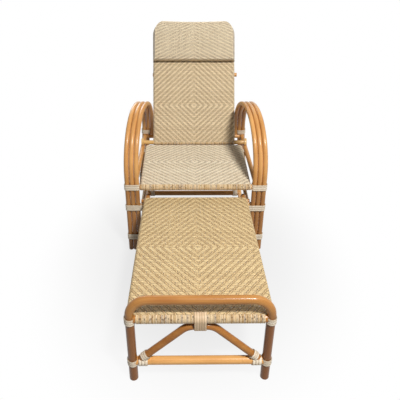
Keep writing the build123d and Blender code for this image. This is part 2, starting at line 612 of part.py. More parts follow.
def brace_nodes(upright, rooms):
    """The footrest's lower stretcher, its bent brace and the wraps where they meet."""
    nodes = {}
    stretcher_room = crossbar(FOOT_X, FOOT_Y, FOOT_STRETCHER_Z, FOOT_STRETCHER + 2 * FIT_GAP)
    nodes["footrest_stretcher"] = coped(crossbar(FOOT_X, FOOT_Y, FOOT_STRETCHER_Z, FOOT_STRETCHER), *rooms)
    knee = (BRACE_KNEE_X, BRACE_APEX_Z)
    toe = (BRACE_END_X, FOOT_STRETCHER_Z)
    brace_wire = upright * FilletPolyline(
        (-toe[0], toe[1]), (-knee[0], knee[1]), knee, toe, radius=BRACE_KNEE_R
    )
    brace_wire = Wire(brace_wire.edges())
    nodes["footrest_brace"] = coped(bent_pole(brace_wire, BRACE), stretcher_room, *rooms)
    brace_room = bent_pole(brace_wire, BRACE + 2 * FIT_GAP)

    rail_room = crossbar(BIG, FOOT_Y, FOOT_FRONT_Z, FOOT_FRONT_BAR + 2 * (WRAP + FIT_GAP))
    nodes["footrest_centre_binding"] = centre_lash(0, rail_room, brace_room)

    slope = (Vector(*knee) - Vector(*toe)).normalized()
    wrap_x = BRACE_END_X - CORNER_LASH / 2
    band = 2 * (FIT_GAP + LASH)
    low_wrap = Pos(wrap_x, 0, 0) * crossbar(CORNER_LASH / 2, FOOT_Y, FOOT_STRETCHER_Z, FOOT_STRETCHER + band)
    start = Vector(toe[0], FOOT_Y, toe[1])
    rise = Vector(slope.X, 0, slope.Y)
    brace_wrap = pole(start, start + rise * (FOOT_STRETCHER / 2 + CORNER_LASH), BRACE + band)
    corner = coped(low_wrap + brace_wrap, stretcher_room, brace_room, *rooms)
    nodes["footrest_corner_bindings"] = Compound([corner, mirror(corner, about=Plane.YZ)])
    return nodes


def main():
    nodes = {**frame_nodes(), **back_nodes(), **bail_nodes(), **footrest_nodes()}
    boxes = [node.bounding_box() for node in nodes.values()]
    middle = -(min(box.min.Y for box in boxes) + max(box.max.Y for box in boxes)) / 2
    os.makedirs("parts", exist_ok=True)
    for name, shape in nodes.items():
        export_step(Pos(0, middle, 0) * shape, "parts/" + name + ".step")
    print("origin shift", round(middle, 4), "pieces", len(nodes))


main()
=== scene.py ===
import math

import bpy
import numpy as np
from mathutils import Matrix, Vector


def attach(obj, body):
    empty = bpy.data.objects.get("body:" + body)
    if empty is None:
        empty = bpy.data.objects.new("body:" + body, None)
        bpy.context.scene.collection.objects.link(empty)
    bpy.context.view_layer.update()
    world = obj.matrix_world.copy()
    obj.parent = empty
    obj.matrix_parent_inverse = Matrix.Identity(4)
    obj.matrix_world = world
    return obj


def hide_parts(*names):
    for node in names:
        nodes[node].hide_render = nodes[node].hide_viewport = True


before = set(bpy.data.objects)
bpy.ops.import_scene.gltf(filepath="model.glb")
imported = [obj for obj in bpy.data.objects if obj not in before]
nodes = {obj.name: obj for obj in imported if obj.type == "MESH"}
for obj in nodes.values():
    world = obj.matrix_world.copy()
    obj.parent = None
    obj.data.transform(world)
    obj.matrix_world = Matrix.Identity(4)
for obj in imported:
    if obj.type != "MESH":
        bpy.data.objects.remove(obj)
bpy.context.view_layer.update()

# Sizes shared with the model, in metres. Lengths along the chair count from its front legs.
MM = 0.001
FRONT_LEG_Y = -0.0144856          # where the front legs stand in the frame
WEAVE = 2.7 * MM
MID_WEAVE = WEAVE / 2
LIP_TURN = math.radians(120)      # how far the weave laps round a side bar
HOOK_TURN = math.radians(200)     # how far its ends lap round an end bar

ARM_HUB_Y = 262 * MM              # middle of the arms' arches
ARM_SPRING = 418 * MM             # height at which the front arc starts
ARM_SPRING_DROP = 129 * MM        # how much lower the rear arc starts
ARM_ARCH_R = 330 * MM

SEAT_TOP = 383 * MM
SEAT_MIDDLE = 248 * MM            # middle of the diamond pattern, along the seat
SEAT_HALF_FRONT = 253.7 * MM
SEAT_HALF_REAR = 264 * MM
SEAT_HALF = (SEAT_HALF_FRONT + SEAT_HALF_REAR) / 2
SEAT_LONG = 459 * MM
SEAT_LAP_R = 16 * MM
SEAT_WRAP_HALF = 269 * MM

BACK_LEAN = math.radians(28)
BACK_FOOT = Vector((0, 484 * MM + FRONT_LEG_Y, 390 * MM))
BACK_HALF = 221 * MM
BACK_LONG = 679 * MM
BACK_BEND = 58 * MM
BACK_LAP_R = 15 * MM
BACK_PATTERN_AT = 213 * MM        # middle of the diamond pattern, along the back

HEAD_LOW = 468 * MM
HEAD_HIGH = 694 * MM
HEAD_HALF = 236 * MM
HEAD_CORNER = 73 * MM
HEAD_SEAT = 15.3 * MM
HEAD_DEEP_LOW = 45 * MM
HEAD_DEEP_TOP = 31 * MM
HEAD_CROWN = 14 * MM
HEAD_TAPER = 13 * MM              # how far its ends draw in towards the front
HEAD_TUCK = 10 * MM               # how far its top and ends lap back over the hoop
HEAD_DIP = 5 * MM                 # how far its top is lower in the middle than at its ends
HEAD_END_WALL = 1.5 * MM
HEAD_UNDER_STEPS = 44             # samples of its side outline: under it, up its front, over it
HEAD_FRONT_STEPS = 240
HEAD_TOP_STEPS = 38
HEAD_SOFT = 20                    # half width, in samples, of the rounding of its edges

FOOT_TOP = 312 * MM
FOOT_FRONT = -768 * MM
FOOT_REAR = -8 * MM
FOOT_HALF = 238 * MM
FOOT_SIDE_LAP_R = 16 * MM
FOOT_FRONT_LAP_R = 18 * MM
FOOT_REAR_LAP_R = 15 * MM
FOOT_WRAP_HALF = 220.5 * MM
FOOT_PATTERN_AT = -400 * MM       # middle of the diamond pattern, along the footrest
FOOT_LEG_X = 240 * MM
FOOT_HOOP_TOP = 377 * MM
FOOT_HOOP_BEND = 67 * MM

# Cane: flat strands, spaced along and across each panel
WARP_PITCH = 5.1 * MM
SEAT_WARP_PITCH = 5.6 * MM
SEAT_WEFT_PITCH = 5.1 * MM
BACK_WEFT_PITCH = 4.7 * MM
FOOT_WEFT_PITCH = 6.0 * MM
HEAD_WARP_PITCH = 7.2 * MM
HEAD_WEFT_PITCH = 3.25 * MM
TWILL_REPEAT = 6                  # strands in one repeat of the twill
TWILL_OVER = 4                    # strands that the weft passes over in it
STRAND_RISE = 0.9 * MM
STRAND_THICK = 1.25 * MM
WEFT_FILL = 0.98                  # strand width as a share of the pitch
WARP_FILL = 0.94
WAVER = 0.06                      # how far a strand strays along its run, as a share of the pitch
WAVER_RATE = 37                   # how fast, per metre, and how it shifts from strand to strand
WAVER_SHIFT = 2.4
SPREAD = 0.08                     # how far whole strands stray, and how it shifts
SPREAD_SHIFT = 1.9
WRAP_PITCH = 4.5 * MM
WRAP_FILL = 0.88
WRAP_STEPS = 15                   # stations of a strand on its way round a bar
WRAP_OVER = 0.6 * MM              # how far the wraps stand off the weave
WRAP_STRAYS = ((0.10, 1.7), (0.07, 3.7))    # how far wraps stray, and how it shifts
LASH_THICK = 1.9 * MM
LASH_SIDES = 32
LASH_FILL = 0.97                  # width of a turn as a share of its pitch
LASH_CROWN = 0.35                 # how far a turn swells in its middle, as a share of LASH_THICK


def along_chair(y):
    """A length counted from the front legs, as a place in the frame."""
    return y + FRONT_LEG_Y


def fresh():
    """Leave edit mode and drop every selection, so that the next tool acts on its own piece."""
    if bpy.context.mode != "OBJECT":
        bpy.ops.object.mode_set(mode="OBJECT")
    bpy.ops.object.select_all(action="DESELECT")


def take(piece):
    """Select one piece alone and make it active."""
    fresh()
    piece.select_set(True)
    bpy.context.view_layer.objects.active = piece


def take_apart(piece):
    """Open one piece for editing, with all of it selected."""
    take(piece)
    bpy.ops.object.mode_set(mode="EDIT")
    bpy.ops.mesh.select_all(action="SELECT")


def points(piece):
    spots = np.empty(len(piece.data.vertices) * 3)
    piece.data.vertices.foreach_get("co", spots)
    return spots.reshape(-1, 3)


def set_points(piece, spots):
    piece.data.vertices.foreach_set("co", np.ascontiguousarray(spots).ravel())
    piece.data.update()


def modified(piece, kind, **settings):
    """Add a modifier, set it up and apply it."""
    take(piece)
    tool = piece.modifiers.new(kind, kind)
    for name, value in settings.items():
        setattr(tool, name, value)
    bpy.ops.object.modifier_apply(modifier=tool.name)


def repeated(piece, count, offset, welded=False):
    modified(
        piece, "ARRAY", count=count, use_relative_offset=False, use_constant_offset=True,
        constant_offset_displace=offset, use_merge_vertices=welded, merge_threshold=1e-6,
    )


def cut_off(piece, at, normal):
    """Saw off what lies beyond a plane, and close the cut ends."""
    take_apart(piece)
    bpy.ops.mesh.bisect(plane_co=at, plane_no=normal, use_fill=True, clear_outer=True)
    fresh()


def close_ends(piece):
    """Close the ends of strands that are still open."""
    take_apart(piece)
    bpy.ops.mesh.fill_holes(sides=0)
    fresh()


def joined(pieces, name):
    """Several pieces made one, or one piece alone, under a name."""
    take(pieces[0])
    for piece in pieces[1:]:
        piece.select_set(True)
    if len(pieces) > 1:
        bpy.ops.object.join()
    whole = bpy.context.view_layer.objects.active
    whole.name = name
    whole.data.name = name
    return whole


def dressed(piece, body, node, material):
    """A finished piece: smooth, in its material, on its body and in place of its solid."""
    piece.data.materials.clear()
    piece.data.materials.append(material)
    take(piece)
    bpy.ops.object.shade_smooth_by_angle(angle=math.radians(50))
    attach(piece, body)
    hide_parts(node)


def cane_strand(long, wide, thick, heights):
    """A flat cane along X with a crowned face, raised and lowered at even steps."""
    fresh()
    bpy.ops.mesh.primitive_cylinder_add(
        vertices=3, radius=1, depth=long, end_fill_type="NOTHING",
        location=(long / 2, 0, 0), rotation=(0, math.pi / 2, 0),
    )
    strand = bpy.context.object
    bpy.ops.object.transform_apply(location=True, rotation=True, scale=True)
    bpy.ops.object.mode_set(mode="EDIT")
    bpy.ops.mesh.select_mode(type="EDGE")
    bpy.ops.mesh.select_all(action="DESELECT")
    bpy.ops.object.mode_set(mode="OBJECT")
    spots = points(strand)
    for edge in strand.data.edges:
        first, last = edge.vertices
        edge.select = bool(abs(spots[first][0] - spots[last][0]) > long / 2)
    bpy.ops.object.mode_set(mode="EDIT")
    bpy.ops.mesh.subdivide(number_cuts=len(heights) - 2)
    bpy.ops.object.mode_set(mode="OBJECT")
    # Of the three corners of its section, one is the crown and two are the edges
    steps = len(heights) - 1
    spots = points(strand)
    station = np.rint(spots[:, 0] / long * steps).astype(int)
    crown = spots[:, 1] > 0.9
    side = -spots[:, 2] / math.sin(math.radians(60)) * wide / 2
    lift = np.asarray(heights)[station]
    set_points(strand, np.column_stack([
        station * long / steps,
        np.where(crown, 0, side),
        lift + np.where(crown, thick / 2, -thick / 2),
    ]))
    reach = np.abs(heights).max()
    sunk = strand.data.attributes.new("sunk", "FLOAT", "POINT")
    sunk.data.foreach_set("value", 0.5 - 0.5 * lift / reach if reach else 0 * lift)
    return strand


def float_heights(first, upper, rise):
    """Heights of a strand over one repeat of the twill; the upper strands are those of the weft."""
    up = [((cell + first) % TWILL_REPEAT < TWILL_OVER) == upper for cell in range(TWILL_REPEAT)]
    level = [rise if is_up else -rise for is_up in up]
    heights = []
    for cell in range(TWILL_REPEAT):
        heights += [(level[cell - 1] + level[cell]) / 2, level[cell]]
    return heights + [heights[0]]


def twill_strands(name, run_pitch, side_pitch, upper, run_reach, side_reach, both_ways):
    """The strands of a twill in one direction, in the panel's own plane: X along them, Y across.

    One repeat is made, set out in rows over a quarter of the panel and mirrored about its middle,
    which turns the slant of the twill into diamonds."""
    long = TWILL_REPEAT * run_pitch
    fill = WEFT_FILL if upper else WARP_FILL
    strands = []
    for first in range(TWILL_REPEAT):
        heights = float_heights(first, upper, STRAND_RISE)
        strand = cane_strand(long, fill * side_pitch, STRAND_THICK, heights)
        set_points(strand, points(strand) + (0, (first + 0.5) * side_pitch, 0))
        strands.append(strand)
    sheet = joined(strands, name)
    repeated(sheet, math.ceil(run_reach / long), (long, 0, 0), welded=True)
    repeat_side = TWILL_REPEAT * side_pitch
    repeated(sheet, math.ceil(side_reach / repeat_side), (0, repeat_side, 0))
    cut_off(sheet, (run_reach, 0, 0), (1, 0, 0))
    cut_off(sheet, (0, side_reach, 0), (0, 1, 0))
    modified(sheet, "MIRROR", use_axis=both_ways, use_mirror_merge=True, merge_threshold=1e-6)
    return sheet


def number_strands(piece, run, side):
    """A map that follows the cane: U along a strand, V its number with the place across it."""
    layer = piece.data.uv_layers.new(name="strand")
    corner = np.empty(len(piece.data.loops), dtype=int)
    piece.data.loops.foreach_get("vertex_index", corner)
    layer.data.foreach_set("uv", np.column_stack([run[corner], side[corner]]).ravel())


def uneven(run, side, pitch):
    """The slight waver of cane laid by hand."""
    number = np.floor(side / pitch)
    along = WAVER * pitch * np.sin(run * WAVER_RATE + number * WAVER_SHIFT)
    return side + along + SPREAD * pitch * np.sin(number * SPREAD_SHIFT)


def lapped(across, height, edge, lap_r):
    """Bend a sheet round the bars at its two sides: places across and up, from its middle face."""
    r = lap_r - MID_WEAVE
    past = np.maximum(np.abs(across) - edge, 0)
    turn = past / r
    inside = np.minimum(np.abs(across), edge)
    out = inside + np.where(past > 0, (r + height) * np.sin(turn), 0)
    drop = np.where(past > 0, (r + height) * np.cos(turn) - r, height)
    return np.sign(across) * out, drop


def seat_place(across, along, height):
    y = SEAT_MIDDLE + along
    half = SEAT_HALF_FRONT + (SEAT_HALF_REAR - SEAT_HALF_FRONT) * y / SEAT_LONG
    x, drop = lapped(across * half / SEAT_HALF, height, half, SEAT_LAP_R)
    return np.column_stack([x, along_chair(y), SEAT_TOP - MID_WEAVE + drop])


def footrest_place(across, along, height):
    x, drop = lapped(across, height, np.full(len(across), FOOT_HALF), FOOT_SIDE_LAP_R)
    y = along_chair(FOOT_PATTERN_AT + along)
    return np.column_stack([x, y, FOOT_TOP - MID_WEAVE + drop])


def on_back(x, up, out):
    """Places in the back's own plane: across, up along it and out of its front face."""
    return np.column_stack([
        x,
        BACK_FOOT.y + up * math.sin(BACK_LEAN) - out * math.cos(BACK_LEAN),
        BACK_FOOT.z + up * math.cos(BACK_LEAN) + out * math.sin(BACK_LEAN),
    ])


def bend_half(up, half, corner, top):
    """Half width of an outline with rounded upper corners, at a height."""
    over = np.clip(up - (top - corner), 0, corner)
    return half - corner + np.sqrt(corner**2 - over**2)


def back_place(across, along, height):
    up = BACK_PATTERN_AT + along
    half = bend_half(up, BACK_HALF, BACK_BEND, BACK_LONG)
    x, drop = lapped(across * half / BACK_HALF, height, half, BACK_LAP_R)
    return on_back(x, up, BACK_LAP_R - MID_WEAVE + drop)


def headrest_line():
    """The headrest's side outline: from the back, under it, up its crowned front, over its top."""
    low, high = HEAD_LOW + MID_WEAVE, HEAD_HIGH - MID_WEAVE
    out_low = HEAD_SEAT + HEAD_DEEP_LOW - MID_WEAVE
    out_high = HEAD_SEAT + HEAD_DEEP_TOP - MID_WEAVE
    share = np.linspace(0, 1, HEAD_FRONT_STEPS)
    front = np.column_stack([
        low + (high - low) * share,
        out_low + (out_high - out_low) * share + HEAD_CROWN * 4 * share * (1 - share),
    ])
    under = np.column_stack([
        np.full(HEAD_UNDER_STEPS, low),
        np.linspace(HEAD_SEAT, out_low, HEAD_UNDER_STEPS, endpoint=False),
    ])
    over = np.column_stack([
        np.full(HEAD_TOP_STEPS, high),
        np.linspace(out_high, HEAD_SEAT - HEAD_TUCK, HEAD_TOP_STEPS + 1)[1:],
    ])
    line = np.vstack([under, front, over])
    # Its edges are rounded by a running mean
    padded = np.pad(line, ((HEAD_SOFT, HEAD_SOFT), (0, 0)), mode="edge")
    window = np.ones(2 * HEAD_SOFT + 1) / (2 * HEAD_SOFT + 1)
    line = np.column_stack([np.convolve(padded[:, k], window, mode="valid") for k in (0, 1)])
    run = np.concatenate([[0], np.cumsum(np.linalg.norm(np.diff(line, axis=0), axis=1))])
    return run, line


HEAD_RUN, HEAD_LINE = headrest_line()


def headrest_half(up, out):
    """Half width of the headrest: rounded at its upper corners and drawn in towards its front."""
    drawn_in = HEAD_TAPER * np.maximum(out - HEAD_SEAT, 0) / HEAD_DEEP_LOW
    return bend_half(up, HEAD_HALF, HEAD_CORNER, HEAD_HIGH) - drawn_in


def headrest_place(across, along, height):
    up = np.interp(along, HEAD_RUN, HEAD_LINE[:, 0])
    out = np.interp(along, HEAD_RUN, HEAD_LINE[:, 1])
    slope = np.gradient(HEAD_LINE, HEAD_RUN, axis=0)
    slope /= np.linalg.norm(slope, axis=1)[:, None]
    rise = np.interp(along, HEAD_RUN, slope[:, 0])
    lean = np.interp(along, HEAD_RUN, slope[:, 1])
    half = headrest_half(up, out)
    high = np.clip((up - HEAD_LOW) / (HEAD_HIGH - HEAD_LOW), 0, 1)
    up = up + HEAD_DIP * ((across / HEAD_HALF) ** 2 - 0.5) * high**3
    return on_back(across * half / HEAD_HALF, up - height * lean, out + height * rise)


def woven_panel(
    node, body, place, warp_pitch, weft_pitch, half, low, high, finish, mirrored_along=True
):
    """Both directions of strands of one panel, on the bars that carry it."""
    reach = max(-low, high)
    for kind in ("weft", "warp"):
        is_weft = kind == "weft"
        pitches = (warp_pitch, weft_pitch) if is_weft else (weft_pitch, warp_pitch)
        reaches = (half, reach) if is_weft else (reach, half)
        ways = (True, mirrored_along, False) if is_weft else (mirrored_along, True, False)
        sheet = twill_strands(node + "_" + kind, *pitches, is_weft, *reaches, ways)
        for limit, way in ((low, -1), (high, 1)):
            if mirrored_along and abs(limit) < reach:
                at, normal = (((0, end, 0) if is_weft else (end, 0, 0)) for end in (limit, way))
                cut_off(sheet, at, normal)
        close_ends(sheet)
        run, side, height = points(sheet).T
        side_pitch = pitches[1]
        number_strands(sheet, run, side / side_pitch)
        side = uneven(run, side, side_pitch)
        if is_weft:
            set_points(sheet, place(run, np.clip(side, low, high), height))
        else:
            set_points(sheet, place(np.clip(side, -half, half), run, height))
            sheet.data.flip_normals()
        dressed(sheet, body, node, finish[kind])


def rail_wrap(name, node, body, half, place, lap_r, forward, finish, over=WRAP_OVER):
    """Strands turned round an end bar, side by side: forward says which way they go over it."""
    r = lap_r - MID_WEAVE
    wrap = cane_strand(r * HOOK_TURN, WRAP_FILL * WRAP_PITCH, STRAND_THICK, [0] * WRAP_STEPS)
    close_ends(wrap)
    count = int(2 * half / WRAP_PITCH)
    repeated(wrap, count, (0, WRAP_PITCH, 0))
    run, side, height = points(wrap).T
    number = side / WRAP_PITCH + 0.5
    number_strands(wrap, run, number)
    stray = sum(far * np.sin(shift * number) for far, shift in WRAP_STRAYS)
    inside = np.minimum(number, count - number).clip(0, 1)
    x = (number + stray * inside - count / 2) * WRAP_PITCH * forward
    angle = run / r
    around = (r + over + height) * np.sin(angle) * forward
    upward = (r + over + height) * np.cos(angle)
    set_points(wrap, place(x, around, upward))
    wrap.data.flip_normals()
    dressed(joined([wrap], name), body, node, finish)


def level_rail(y, top, lap_r):
    """Places round a rail that runs across the chair."""
    def place(x, around, upward):
        return np.column_stack([x, along_chair(y) + around, top - lap_r + upward])
    return place


def back_rail(up):
    """Places round a rail that runs across the back."""
    def place(x, around, upward):
        return on_back(x, up + around, upward)
    return place


def headrest_ends(finish):
    """The two closed ends of the headrest, which follow its rounded upper corners."""
    front = (HEAD_RUN > 0.05 * HEAD_RUN[-1]) & (HEAD_RUN < 0.95 * HEAD_RUN[-1])
    front_line = HEAD_LINE[front][np.argsort(HEAD_LINE[front, 0])]
    rear = HEAD_SEAT - HEAD_TUCK
    ends = []
    for side in (-1, 1):
        fresh()
        bpy.ops.mesh.primitive_grid_add(x_subdivisions=36, y_subdivisions=8, size=1)
        wall = bpy.context.object
        x, y, z = points(wall).T
        share = x + 0.5
        up = HEAD_LOW + 2 * MM + (HEAD_HIGH - HEAD_LOW - 3 * MM) * share
        out = np.interp(up, front_line[:, 0], front_line[:, 1])
        depth = rear + (out - rear) * (y + 0.5)
        half = headrest_half(up, depth) - HEAD_END_WALL
        number_strands(wall, depth, up / BACK_WEFT_PITCH)
        set_points(wall, on_back(side * half, up + HEAD_DIP / 2 * share**3, depth))
        if side > 0:
            wall.data.flip_normals()
        modified(wall, "SOLIDIFY", thickness=HEAD_END_WALL, offset=-1)
        ends.append(wall)
    dressed(joined(ends, "headrest_ends"), "backrest", "headrest_weave", finish)


def cane_turns(radius, reach, far_radius, turns, wide):
    """Turns of flat cane wound side by side round one pole, or round a row as long as reach."""
    fresh()
    bpy.ops.mesh.primitive_circle_add(vertices=LASH_SIDES, radius=1, fill_type="NOTHING")
    band = bpy.context.object
    bpy.ops.object.mode_set(mode="EDIT")
    for _ in range(2):
        bpy.ops.mesh.select_all(action="DESELECT")
        bpy.ops.object.mode_set(mode="OBJECT")
        top = max(vertex.co.z for vertex in band.data.vertices)
        for vertex in band.data.vertices:
            vertex.select = vertex.co.z > top - 1e-6
        bpy.ops.object.mode_set(mode="EDIT")
        bpy.ops.mesh.select_mode(type="VERT")
        bpy.ops.mesh.extrude_region_move(TRANSFORM_OT_translate={"value": (0, 0, 0.5)})
    bpy.ops.mesh.select_all(action="SELECT")
    bpy.ops.mesh.normals_make_consistent(inside=False)
    fresh()
    x, y, z = points(band).T
    far = x > 1e-6
    crowned = LASH_CROWN * LASH_THICK * np.where(np.abs(z - 0.5) < 0.25, 1, 0)
    size = np.where(far, far_radius, radius) + crowned
    set_points(band, np.column_stack([
        x * size + np.where(far, reach, 0), y * size, z * wide * LASH_FILL,
    ]))
    modified(band, "SOLIDIFY", thickness=LASH_THICK, offset=-1)
    repeated(band, turns, (0, 0, wide))
    return band


def wound(name, node, body, places, finish):
    """One piece of lashings.

    A place has its start, the way across its poles, the way that they run, the radius of its turns
    there and at the far end, its height, its turns and their tilt."""
    bands = []
    for start, across, run, radius, far_radius, tall, turns, tilt in places:
        across = Vector(across)
        run = Vector(run).normalized()
        reach = across.length
        way = across.normalized() if reach > 1e-6 else run.orthogonal().normalized()
        wide = tall / turns
        band = cane_turns(radius, reach, far_radius, turns, wide)
        x, y, z = points(band).T
        girth = np.arctan2(y, x - reach / 2) * (radius + reach / 2)
        number_strands(band, girth + len(bands), z / wide + len(bands) * 8)
        z = z - tall / 2 + tilt * wide * (y / radius)
        set_points(band, np.column_stack([x, y, z]))
        cross = run.cross(way)
        band.data.transform(Matrix((
            (way.x, cross.x, run.x, start[0]),
            (way.y, cross.y, run.y, along_chair(start[1])),
            (way.z, cross.z, run.z, start[2]),
            (0, 0, 0, 1),
        )))
        bands.append(band)
    dressed(joined(bands, name), body, node, finish)


# Patterns of the finishes: rates per metre along a strand or pole, and per strand across
FIBRE_RUN, FIBRE_ACROSS = 60.0, 5.0
FIBRE_JUMP = 7.31                 # from one strand to the next, so that no two are alike
FLECK_RUN, FLECK_ACROSS = 210.0, 1.7
FLECK_LEVELS = (0.60, 0.72)
EDGE_FROM = 0.26                  # off a strand's middle, of the 0.5 to its edge
POLE_FIBRES = (420.0, 420.0, 6.0)
POLE_CLOUDS = (26.0, 26.0, 5.0)
RINGS_PER_METRE = 3.1
RING_WAVER = 0.02
RING_HALF = 0.012
STEEL_GRAIN = 420.0


def feed(tree, socket, value):
    """Link a socket to another node's output, or set its own value."""
    if isinstance(value, bpy.types.NodeSocket):
        tree.links.new(value, socket)
    else:
        socket.default_value = value


def add(tree, kind, **values):
    """A node with its settings, and its inputs, named in_NAME or in_NUMBER, set or linked."""
    made = tree.nodes.new(kind)
    for name, value in values.items():
        if not name.startswith("in_"):
            setattr(made, name, value)
    for name, value in values.items():
        if name.startswith("in_"):
            key = name[3:]
            feed(tree, made.inputs[int(key) if key.isdigit() else key.replace("_", " ")], value)
    return made


def math_node(tree, operation, *values, clamp=False):
    made = add(tree, "ShaderNodeMath", operation=operation, use_clamp=clamp)
    for socket, value in zip(made.inputs, values):
        feed(tree, socket, value)
    return made.outputs[0]


def plus(tree, first, second, clamp=False):
    return math_node(tree, "ADD", first, second, clamp=clamp)


def minus(tree, first, second):
    return math_node(tree, "SUBTRACT", first, second)


def times(tree, first, second):
    return math_node(tree, "MULTIPLY", first, second)


def apart(tree, first, second):
    """How far two values are from each other."""
    return math_node(tree, "ABSOLUTE", minus(tree, first, second))


def far_out(tree, first, second):
    """The length of a line from its two sides."""
    squares = plus(tree, times(tree, first, first), times(tree, second, second))
    return math_node(tree, "SQRT", squares)


def ranged(tree, value, start, end, to_start=0.0, to_end=1.0, soft=False):
    """A value carried from one range to another and held there; soft eases it in and out."""
    return add(
        tree, "ShaderNodeMapRange", interpolation_type="SMOOTHSTEP" if soft else "LINEAR",
        in_Value=value, in_1=start, in_2=end, in_3=to_start, in_4=to_end,
    ).outputs[0]


def mixed(tree, factor, first, second):
    """A colour between two others."""
    made = add(tree, "ShaderNodeMix", data_type="RGBA", in_0=factor)
    for index, colour in ((6, first), (7, second)):
        feed(tree, made.inputs[index], (*colour, 1) if isinstance(colour, tuple) else colour)
    return made.outputs[2]


def noise(tree, where, detail, scale=1.0):
    made = add(tree, "ShaderNodeTexNoise", in_Vector=where, in_Scale=scale, in_Detail=detail)
    return made.outputs[0]


def drawn_lot(tree, number):
    """A value from 0 to 1 that is each number's own."""
    return add(tree, "ShaderNodeTexWhiteNoise", noise_dimensions="1D", in_W=number).outputs[0]


def split(tree, where):
    return add(tree, "ShaderNodeSeparateXYZ", in_Vector=where).outputs


def combined(tree, x, y, z=0.0):
    return add(tree, "ShaderNodeCombineXYZ", in_X=x, in_Y=y, in_Z=z).outputs[0]


def stretched(tree, where, rates):
    made = add(tree, "ShaderNodeVectorMath", operation="MULTIPLY", in_0=where, in_1=rates)
    return made.outputs[0]


def object_place(tree):
    return add(tree, "ShaderNodeTexCoord").outputs["Object"]


def make_group(name, given, outputs):
    """An empty node group with one place as its input: the group, that input and its end."""
    group = bpy.data.node_groups.new(name, "ShaderNodeTree")
    group.interface.new_socket(given, in_out="INPUT", socket_type="NodeSocketVector")
    for label in outputs:
        group.interface.new_socket(label, in_out="OUTPUT", socket_type="NodeSocketFloat")
    start, end = group.nodes.new("NodeGroupInput"), group.nodes.new("NodeGroupOutput")
    return group, start.outputs[given], end


def put_out(group, end, **values):
    for label, value in values.items():
        group.links.new(value, end.inputs[label])


def cane_group():
    """Split cane, read along the strand map: each strand's tone, its fibres, edges and flecks."""
    group, strand, end = make_group("split_cane", "Strand", ("Tone", "Fibre", "Edge", "Fleck"))
    run, side, _ = split(group, strand)
    number = math_node(group, "FLOOR", side)
    fibre_run = plus(group, times(group, run, FIBRE_RUN), times(group, number, FIBRE_JUMP))
    fibre = noise(group, combined(group, fibre_run, times(group, side, FIBRE_ACROSS)), 3.0)
    off_middle = apart(group, math_node(group, "FRACT", side), 0.5)
    fleck_at = combined(group, times(group, run, FLECK_RUN), times(group, side, FLECK_ACROSS))
    put_out(
        group, end, Tone=drawn_lot(group, number), Fibre=fibre,
        Edge=ranged(group, off_middle, EDGE_FROM, 0.5, soft=True),
        Fleck=ranged(group, noise(group, fleck_at, 1.0), *FLECK_LEVELS),
    )
    return group


def pole_group():
    """Lacquered rattan pole, read with Z along it: fibres, cloudy colour and growth rings."""
    group, where, end = make_group("rattan_pole", "Along Pole", ("Fibre", "Cloud", "Ring"))
    fibre = noise(group, stretched(group, where, POLE_FIBRES), 4.0)
    cloud = noise(group, stretched(group, where, POLE_CLOUDS), 2.0)
    along = plus(group, split(group, where)[2], times(group, cloud, RING_WAVER))
    off_ring = apart(group, math_node(group, "FRACT", times(group, along, RINGS_PER_METRE)), 0.5)
    ring = ranged(group, off_ring, RING_HALF, 0.0, soft=True)
    put_out(group, end, Fibre=fibre, Cloud=cloud, Ring=ring)
    return group


CANE = cane_group()
POLE = pole_group()

# Colours: a pale and a deep tone, and a dark one for rings and dusty flecks, and for painted shade
# at edges, under crossing strands and down the legs
RATTAN = ((0.70, 0.372, 0.122), (0.49, 0.214, 0.054), (0.17, 0.045, 0.006))
# A paler copy of RATTAN: painted light for the lit top of the footrest's stretcher
RATTAN_PAINTED_LIGHT = ((0.80, 0.43, 0.15), (0.58, 0.26, 0.07), (0.20, 0.085, 0.025))
RATTAN_DARK = ((0.53, 0.255, 0.068), (0.36, 0.138, 0.030), (0.15, 0.038, 0.005))
RATTAN_BROWN = ((0.44, 0.19, 0.045), (0.30, 0.105, 0.020), (0.13, 0.040, 0.008))
PALE_WOOD = ((0.72, 0.46, 0.18), (0.55, 0.31, 0.10), (0.28, 0.14, 0.05))
# The weft's cane, then the warp's: the warp is a deeper tone, partly its own and partly painted
# shade for where it lies under the weft
WEFT_CANE = ((0.92, 0.77, 0.51), (0.70, 0.54, 0.33), (0.12, 0.075, 0.04))
WARP_CANE = ((0.80, 0.63, 0.40), (0.55, 0.40, 0.24), (0.085, 0.052, 0.03))
BINDING_CANE = ((0.88, 0.78, 0.62), (0.73, 0.60, 0.44), (0.30, 0.21, 0.12))
TAN_CANE = ((0.74, 0.56, 0.36), (0.60, 0.42, 0.25), (0.34, 0.23, 0.13))
WORN_STEEL = ((0.30, 0.26, 0.21), (0.19, 0.16, 0.13))
# The wraps' strands: from which share of them on each colour holds
WRAP_TONES = (
    (0.0, (0.90, 0.72, 0.46)), (0.34, (0.77, 0.56, 0.31)), (0.56, (0.86, 0.70, 0.48)),
    (0.76, (0.55, 0.35, 0.17)), (0.87, (0.66, 0.55, 0.43)),
)
WRAP_STREAK = (0.50, 0.34, 0.17)
# Painted shade for the gaps between the wraps' strands
WRAP_GAP_SHADE = (0.26, 0.16, 0.08)
WRAP_DUST = (0.10, 0.07, 0.05)
# Cane: how far fibres streak it, its strands' tones spread, and painted shade darkens its edges
CANE_STREAK = 2.0
CANE_SPREAD, CANE_LEAST = 0.8, 0.1
CANE_GAP_SHADE = 0.7
# Painted shade where a strand dives under a crossing one
DIVE_FROM = 0.46                  # off the middle level, of the 0.5 to the top or bottom of a dive
DIVE_SHADE = (0.35, 1.0)           # how deep the painted shade gets there, varying with the fibres from place to place
DIVE_SHADE_FIBRE = (0.36, 0.54)
